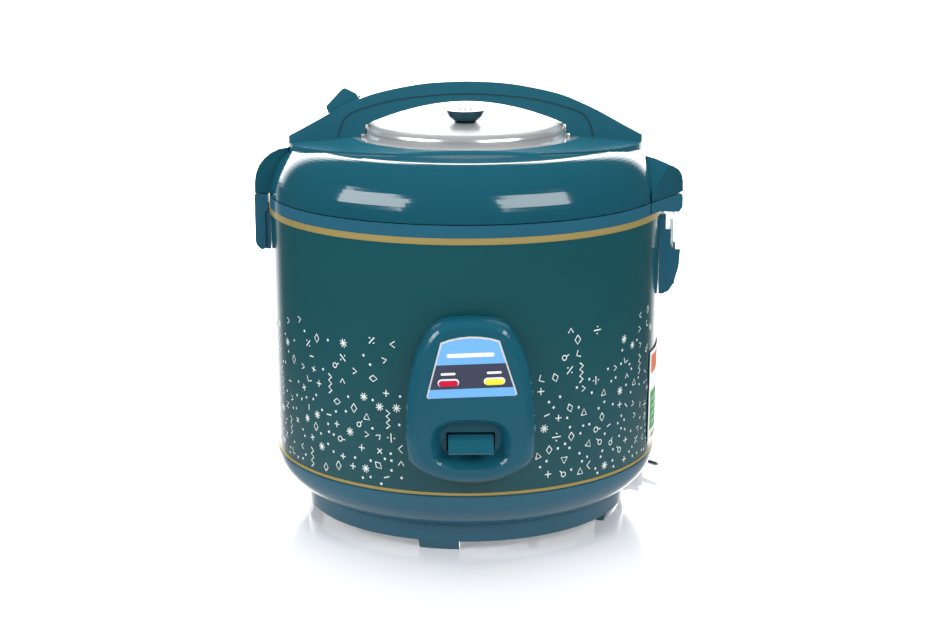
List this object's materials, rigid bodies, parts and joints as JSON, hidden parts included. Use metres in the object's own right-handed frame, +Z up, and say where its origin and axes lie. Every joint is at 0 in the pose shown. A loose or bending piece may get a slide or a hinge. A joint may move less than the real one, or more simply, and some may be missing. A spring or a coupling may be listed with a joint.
{
  "type": "rice cooker",
  "caption": "Round electric rice cooker: hinged domed lid with arched handle and steam vent, lever panel, dew cup, inner pot, and a coiled mains lead with a two-pin plug.",
  "frame": {"origin": "on the surface the cooker stands on, under the axis of its round body", "axes": "+Z up along the body's axis, -Y out of the control panel's face, +X towards the lid's hinge"},
  "size_m": [0.2946, 0.3851, 0.3004],
  "materials": {
    "teal_gloss": "gloss",
    "printed_shell": "gloss",
    "gold_trim": "satin",
    "silver_trim": "polished",
    "polished_steel": "polished",
    "steel_sheet": "satin",
    "heater_mica": "matt",
    "cast_aluminium": "satin",
    "pot_aluminium": "satin",
    "spring_steel": "satin",
    "magnet_iron": "matt",
    "black_plastic": "satin",
    "white_plastic": "satin",
    "silicone": "matt",
    "wire_cover": "satin",
    "cord_cover": "satin",
    "pin_brass": "polished",
    "panel_print": "satin",
    "red_lens": "gloss",
    "yellow_lens": "gloss",
    "clear_cup": "clear",
    "sticker_paper": "matt"
  },
  "bodies": {
    "cooker": {"outer_shell": "printed_shell", "upper_gold_band": "gold_trim", "lower_gold_band": "gold_trim", "body_collar": "teal_gloss", "base_moulding": "teal_gloss", "bottom_plate": "steel_sheet", "base_screws": "steel_sheet", "inner_jacket": "steel_sheet", "keep_warm_heater": "heater_mica", "heating_plate": "cast_aluminium", "inner_pot": "pot_aluminium", "thermostat_bracket": "steel_sheet", "sensor_spring": "spring_steel", "microswitch": "black_plastic", "thermal_fuse": "white_plastic", "terminal_block": "white_plastic", "wire_harness": "wire_cover", "control_housing": "teal_gloss", "panel_label": "panel_print", "cook_lens": "red_lens", "warm_lens": "yellow_lens", "lamp_holder": "white_plastic", "lever_pin": "spring_steel", "power_inlet": "black_plastic", "mains_connector": "black_plastic", "cord_lead_in": "cord_cover", "cord_coil": "cord_cover", "cord_lead_out": "cord_cover", "plug_body": "black_plastic", "plug_pins": "pin_brass", "latch_catch": "teal_gloss", "catch_cover": "teal_gloss", "dew_holder": "teal_gloss", "energy_sticker": "sticker_paper", "hinge_pin": "spring_steel", "hinge_spring": "spring_steel"},
    "lid": {"lid_shell": "teal_gloss", "latch_cover": "teal_gloss", "hinge_cover": "teal_gloss", "handle_base": "teal_gloss", "top_plate": "polished_steel", "handle_arch": "teal_gloss", "handle_grip": "teal_gloss", "handle_trim": "silver_trim", "button_spring": "spring_steel", "hook_pin": "spring_steel", "steam_valve": "black_plastic", "lid_liner": "white_plastic", "inner_lid": "steel_sheet", "lid_gasket": "silicone"},
    "release_button": {"release_button": "teal_gloss"},
    "latch_hook": {"latch_hook": "black_plastic"},
    "switch_lever": {"switch_lever": "teal_gloss"},
    "magnet_link": {"link_bar": "steel_sheet", "lift_magnet": "magnet_iron"},
    "thermostat_sensor": {"thermostat_cap": "pot_aluminium"},
    "steam_cap": {"steam_cap": "teal_gloss"},
    "dew_collector": {"dew_cup": "clear_cup", "dew_cover": "teal_gloss"}
  },
  "joints": [
    {"name": "lid_hinge", "type": "hinge", "parent": "cooker", "child": "lid", "pos_m": [0.1461, 0, 0.2203], "axis": [0, 1, 0], "range_deg": [0, 85]},
    {"name": "release_button", "type": "slide", "parent": "lid", "child": "release_button", "axis": [0.5, 0, -0.866], "range_m": [0, 0.003], "stiffness_N_per_m": 400, "springref_m": -0.004, "deforming": ["button_spring"]},
    {"name": "latch_hook", "type": "hinge", "parent": "lid", "child": "latch_hook", "pos_m": [-0.1258, 0, 0.2463], "axis": [0, 1, 0], "range_deg": [0, 4.5]},
    {"name": "switch_lever", "type": "hinge", "parent": "cooker", "child": "switch_lever", "pos_m": [0, -0.123, 0.085], "axis": [1, 0, 0], "range_deg": [0, 8]},
    {"name": "magnet_link", "type": "slide", "parent": "cooker", "child": "magnet_link", "axis": [0, 0, 1], "range_m": [0, 0.004], "stiffness_N_per_m": 60, "springref_m": -0.004},
    {"name": "thermostat_sensor", "type": "slide", "parent": "cooker", "child": "thermostat_sensor", "axis": [0, 0, 1], "range_m": [-0.003, 0], "stiffness_N_per_m": 300, "springref_m": 0.004, "deforming": ["sensor_spring"]},
    {"name": "steam_cap", "type": "slide", "parent": "lid", "child": "steam_cap", "axis": [0, 0, 1], "range_m": [0, 0.005]},
    {"name": "dew_collector", "type": "slide", "parent": "cooker", "child": "dew_collector", "axis": [1, 0, 0], "range_m": [0, 0.03]}
  ],
  "couplings": [
    {"joint": "latch_hook", "follows": "release_button", "rad_per_m": 25.25},
    {"joint": "switch_lever", "follows": "magnet_link", "rad_per_m": 34.9}
  ]
}
